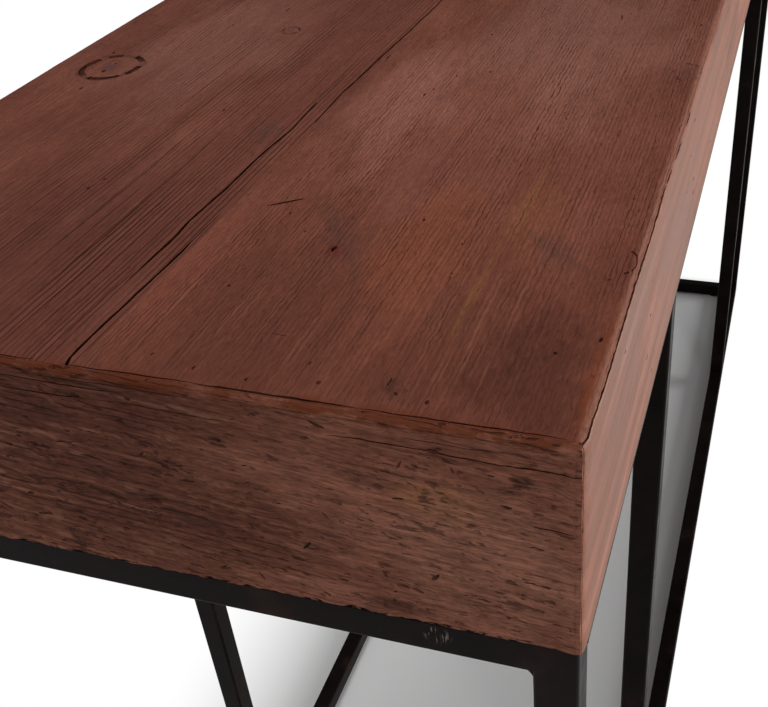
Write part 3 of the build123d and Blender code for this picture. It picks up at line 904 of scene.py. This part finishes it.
leftNicks = [  # along, up, half length, half width, turn
    (-10, 835, 2.6, 0.7, -20), (-28, 825, 2.4, 0.6, -50), (-4, 819, 5, 0.8, 12), (-43, 822, 3.5, 0.6, -5),
    (-46, 815, 3.6, 0.8, 4), (7, 825, 5.5, 0.4, -6), (-30, 817, 2, 0.7, 20), (-72, 819, 2.5, 0.6, -30),
    (-79, 817, 2.8, 0.8, 10), (-109, 817, 3.5, 0.8, 0), (-107, 855, 3.5, 0.9, 25), (-137, 842, 2.2, 0.6, -60),
    (-157, 843, 1.8, 0.6, 70), (-181, 843, 4, 1.2, 20), (-176, 830, 2.4, 0.7, 0),
    (-135, 825, 2.6, 0.7, -15), (-104, 809, 2.4, 0.8, 50), (-72, 801, 3.2, 0.7, 15), (-28, 803, 4, 0.7, -6),
    (-10, 794, 3, 0.9, 45), (-66, 792, 1.3, 0.8, 0), (-74, 791, 1.2, 0.8, 0), (-94, 791, 2.8, 0.7, -45),
    (-61, 780, 2.8, 0.9, 10), (-81, 780, 3, 0.7, 5), (-107, 775, 3, 0.8, 0), (-126, 783, 2.6, 0.8, 75),
    (-139, 777, 2.8, 0.9, 15), (-147, 787, 2.4, 1, -50), (-132, 767, 4, 1.4, 5), (-37, 776, 3.4, 1, 20),
    (-52, 768, 2.4, 0.9, -25), (-70, 767, 2.6, 0.8, 60), (31, 780, 4, 0.8, -8), (12, 781, 3, 1, 20),
    (-24, 788, 2.2, 0.8, 0), (-99, 765, 2, 0.8, 30), (-165, 779, 3, 0.7, 0), (-190, 793, 2.2, 0.7, 10),
    (-187, 812, 3, 0.5, 0),
]
nickShape = {"slim": 1.1, "depth": 0.9}  # slim divides the half width
boardMarks["left_end_apron"] = {
    "cracks": [
        (-18, 858.3, 42, 0.2, 2), (0, 855, 28, 0.3, 2, 1), (10, 849, 22, 0.3, 2), (-45, 849.5, 32, 0.2, 2),
        (-157, 854.5, 18, 0.2, 2), (-193, 822, 8, 0.4, 1.5), (100, 845, 60, 0.4, 2.5, -1),
        (150, 800, 50, 0.4, 2.5, 1),
    ] + chain([(-118, 850.5), (-145, 850.2), (-172, 849.4), (-200, 849.3)], 0.3, 3),
    "pits": [(-63, 839, 2.8, 1.4, 2.5), (-29, 852.5, 1.4, 1, 1.5)]
    + [(*nick[:3], nick[3] / nickShape["slim"], nickShape["depth"], nick[4]) for nick in leftNicks]
    + scatter(7, 40, (30, 195), (768, 852), *endNicks)
    + scatter(21, 60, (-200, 30), (765, 850), (0.8, 2.4), (0.2, 0.4), (0.6, 1), 20)
    + scatter(8, 60, (-200, 200), (758.8, 759.6), (1.5, 5), (0.3, 0.9), (1, 2), 4),
}
boardMarks["right_end_apron"] = {
    "cracks": [(50, 853, 70, 0.4, 3, 1), (-90, 846, 60, 0.5, 3, -1), (-20, 790, 50, 0.4, 2, 1)],
    "pits": scatter(31, 60, (-195, 195), (768, 852), *endNicks)
    + scatter(32, 40, (-200, 200), (758.8, 759.6), (1.5, 6), (0.4, 1.4), (1, 2.4), 4),
}
boardMarks["front_apron"] = {
    "cracks": [(-200, 800, 110, 0.3, 1.5, 0.4), (400, 835, 140, 0.3, 2, -0.4)],
    "pits": scatter(11, 22, (-730, 730), (770, 852), *apronNicks),
}
boardMarks["rear_apron"] = {
    "cracks": [(250, 810, 120, 0.3, 1.5, 0.4), (-450, 840, 130, 0.3, 2, -0.4)],
    "pits": scatter(13, 22, (-730, 730), (770, 852), *apronNicks),
}
openJoint = chain([(-749.5, 862.1), (-730, 862.2), (-710, 862), (-690, 862.2), (-665, 862.1), (-640, 862.2),
                   (-610, 862.1), (-565, 862.2)], 0.35, 5)  # where the top has shrunk from the front apron
openJoint += [(-545, 862.1, 8, 0.3, 4), (-515, 862.1, 12, 0.3, 4), (-475, 862.1, 10, 0.3, 4)]
endJoint = {"inside": 1.2, "depth": 3, "lengths": [  # along the end, half length, half width
    (-90, 35, 0.6), (-160, 40, 0.4), (-30, 30, 0.4), (50, 40, 0.5), (130, 50, 0.5)]}
endPlace = (cadLow[0] + boardShape["wrap"]) * 1000 + endJoint["inside"]
endMarks = [(endPlace, *row, endJoint["depth"], 90) for row in endJoint["lengths"]]
for name, marks in boardMarks.items():
    board, face = boards[name], boardPlan[name]["face"]
    cutMarks(board, face, crackCutter, marks["cracks"], cutShape["crackSway"], "crack")
    cutMarks(board, face, pitCutter, marks["pits"], cutShape["pitSway"], "nick" if isEnd(face) else "pit")
for ring in knotRings:
    cutKnotRing(boards["top_board_rear" if ring["place"][1] > 0 else "top_board_front"], ring)
for name in ("top_board_front", "front_apron"):
    cutMarks(boards[name], "front", crackCutter, openJoint, cutShape["jointSway"], "joint")
for name in ("top_board_front", "top_board_rear"):
    cutMarks(boards[name], "top", crackCutter, endMarks, (), "joint", passes=1)
for cutter in (crackCutter, pitCutter):
    bpy.data.objects.remove(cutter)
for name, board in boards.items():
    pickOnly(board)
    if isEnd(boardPlan[name]["face"]):
        markHollows(board, boardPlan[name]["face"])
    bpy.ops.object.shade_smooth_by_angle(angle=math.radians(boardShape["smoothAngle"]))
    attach(board, "root")
    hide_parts(name)
print("cracks and worm holes cut")

steelLook = {
    "dark": (14, 10, 9), "middle": (22, 15, 14), "brown": (40, 27, 23), "scuff": (110, 100, 94),
    "tones": (0.35, 0.58, 0.75), "clouds": ((26, 26, 26), 5.0, 0.62), "fine": ((260, 260, 260), 3.0, 0.6),
    "scratches": ((900, 900, 160), 2.0, 0.5), "speck": (0.58, 0.72, 0.0, 0.35), "scratch": (0.54, 0.64),
    "scuffSpot": {"place": (-0.7475, -0.1445, 0.751), "size": (0.01, 0.007, 0.006), "turn": (0, 0, 0)},
    "scuffEdge": (1.0, 0.5), "limits": (0.3, 0.7), "roughness": (0.26, 0.46), "specular": 0.04,
    "bump": 0.15, "bumpDepth": 0.0003,
}


def steelMaterial():
    material, tree, shader, place = newMaterial("blackenedSteel", steelLook["specular"])
    clouds = noise(tree, place, *steelLook["clouds"])
    fine = noise(tree, place, *steelLook["fine"])
    shades = [paint(*steelLook[shade]) for shade in ("dark", "middle", "brown")]
    colour = ramp(tree, clouds, list(zip(steelLook["tones"], shades)))
    colour = blend(tree, spread(tree, fine, *steelLook["speck"]), colour, shades[2])
    scratch = noise(tree, place, *steelLook["scratches"])
    spot = vectorCalc(tree, "LENGTH", markSpace(tree, place, steelLook["scuffSpot"]))
    scuffed = spread(tree, spot, *steelLook["scuffEdge"])
    scuffed = times(tree, scuffed, spread(tree, scratch, *steelLook["scratch"]))
    colour = blend(tree, scuffed, colour, paint(*steelLook["scuff"]))
    plug(tree, colour, shader.inputs["Base Color"])
    roughness = spread(tree, clouds, *steelLook["limits"], *steelLook["roughness"])
    plug(tree, roughness, shader.inputs["Roughness"])
    addBump(tree, shader, fine, steelLook["bump"], steelLook["bumpDepth"])
    return material


innerLook = dict(
    topLook, name="innerTimber", seed=33.0, turn=(0, 0, math.radians(90)), roughness=0.72, specular=0.25,
    deep=(128, 92, 62), middle=(152, 114, 80), pale=(174, 136, 98), bandColour=(134, 96, 64),
    lineColour=(118, 82, 54), check=0.25, pore=0.2, wear=0.0, patches=[])
screwLook = {
    "noise": ((140, 140, 140), 4.0, 0.6), "tones": (0.35, 0.65), "limits": (0.3, 0.7),
    "roughness": (0.32, 0.48), "specular": 0.5, "metallic": 1.0,
}
glideLook = dict(screwLook, roughness=(0.49, 0.65), metallic=0.0)
finishes = {
    "blackened_steel": steelMaterial(), "inner_timber": timberMaterial(innerLook),
    "screw_steel": speckledMaterial("screwSteel", (112, 108, 102), (150, 146, 138), screwLook),
    "glide_nylon": speckledMaterial("glideNylon", (30, 30, 32), (40, 40, 42), glideLook),
}
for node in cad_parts.values():
    for slot in node.material_slots:
        for label, material in finishes.items():
            if slot.material is not None and slot.material.name.startswith(label):
                slot.material = material
print("steel, screws and inner timber finished")

stage = {
    "floorSize": 14.0, "floorColour": (228, 228, 228), "floorRoughness": 0.9, "floorSpecular": 0.1,
    "world": 0.2, "frameEdge": 0.0025, "whiteFront": 0.0005, "whiteRear": 0.2, "whiteEnd": 0.05,
}


def makeFloor():
    bpy.ops.object.select_all(action="DESELECT")
    bpy.ops.mesh.primitive_plane_add(size=stage["floorSize"])
    floor = bpy.context.object
    floor.name = "studioFloor"
    material, tree, shader, place = newMaterial("floorPaper", stage["floorSpecular"])
    shader.inputs["Base Color"].default_value = paint(*stage["floorColour"])
    shader.inputs["Roughness"].default_value = stage["floorRoughness"]
    part = split(tree, place)
    frontEdge = cadLow[1] + stage["frameEdge"]  # outside the table's footprint the camera sees a painted white that covers the shadow; it starts right at the front rail and fades in behind and beyond the ends, a painted edge to the shadow
    outside = spread(tree, part["Y"], frontEdge + stage["whiteFront"], frontEdge)
    behind = spread(tree, part["Y"], cadHigh[1], cadHigh[1] + stage["whiteRear"])
    beyond = spread(tree, calc(tree, "ABSOLUTE", part["X"]), cadHigh[0], cadHigh[0] + stage["whiteEnd"])
    outside = calc(tree, "MAXIMUM", calc(tree, "MAXIMUM", outside, behind), beyond)
    camera = put(tree, "ShaderNodeLightPath").outputs["Is Camera Ray"]
    paintedWhite = put(tree, "ShaderNodeEmission", {"Color": (1, 1, 1, 1), "Strength": 1.0}).outputs[0]
    white = times(tree, outside, camera)
    seen = put(tree, "ShaderNodeMixShader", {0: white, 1: shader.outputs[0], 2: paintedWhite})
    plug(tree, seen.outputs[0], tree.nodes["Material Output"].inputs["Surface"])
    floor.data.materials.append(material)


def makeWorld():
    world = bpy.data.worlds.new("studio")
    bpy.context.scene.world = world
    world.use_nodes = True
    tree = world.node_tree
    background = tree.nodes["Background"]
    background.inputs["Color"].default_value = (1, 1, 1, 1)
    camera = put(tree, "ShaderNodeLightPath").outputs["Is Camera Ray"]
    plug(tree, spread(tree, camera, 0.0, 1.0, stage["world"], 1.0), background.inputs["Strength"])


softboxes = {  # place, aim, size and power
    "keySoftbox": ((-0.9, 0.35, 2.9), (-0.3, 0.0, 0.8), 1.3, 44),
    "sideSoftbox": ((1.0, -2.6, 0.95), (0.3, -0.2, 0.75), 1.2, 55),
    "nearSoftbox": ((-1.9, -1.2, 1.15), (-0.75, -0.15, 0.8), 0.5, 8),
}


def addSoftbox(name, place, aim, size, power):
    lamp = bpy.data.lights.new(name, "AREA")
    lamp.shape = "SQUARE"
    lamp.size = size
    lamp.energy = power
    addObject(name, lamp, place, (Vector(aim) - Vector(place)).to_track_quat("-Z", "Y").to_euler())


photoView = {
    "sensor": 36, "lens": 49.3108, "shift": (-0.09126, -0.00757), "clip": 0.01,
    "place": (-1.00814, -0.25305, 1.08791), "turn": (55.0579, 3.3751, -72.8201),
}


def addCamera():
    lens = bpy.data.cameras.new("photoCamera")
    lens.sensor_fit = "HORIZONTAL"
    lens.sensor_width = photoView["sensor"]
    lens.lens = photoView["lens"]
    lens.shift_x, lens.shift_y = photoView["shift"]
    lens.clip_start = photoView["clip"]
    turn = [math.radians(angle) for angle in photoView["turn"]]
    bpy.context.scene.camera = addObject("photoCamera", lens, photoView["place"], turn)


makeFloor()
makeWorld()
for name, plan in softboxes.items():
    addSoftbox(name, *plan)
addCamera()
bpy.context.scene.view_settings.view_transform = "Standard"
print("stage, light and camera set")
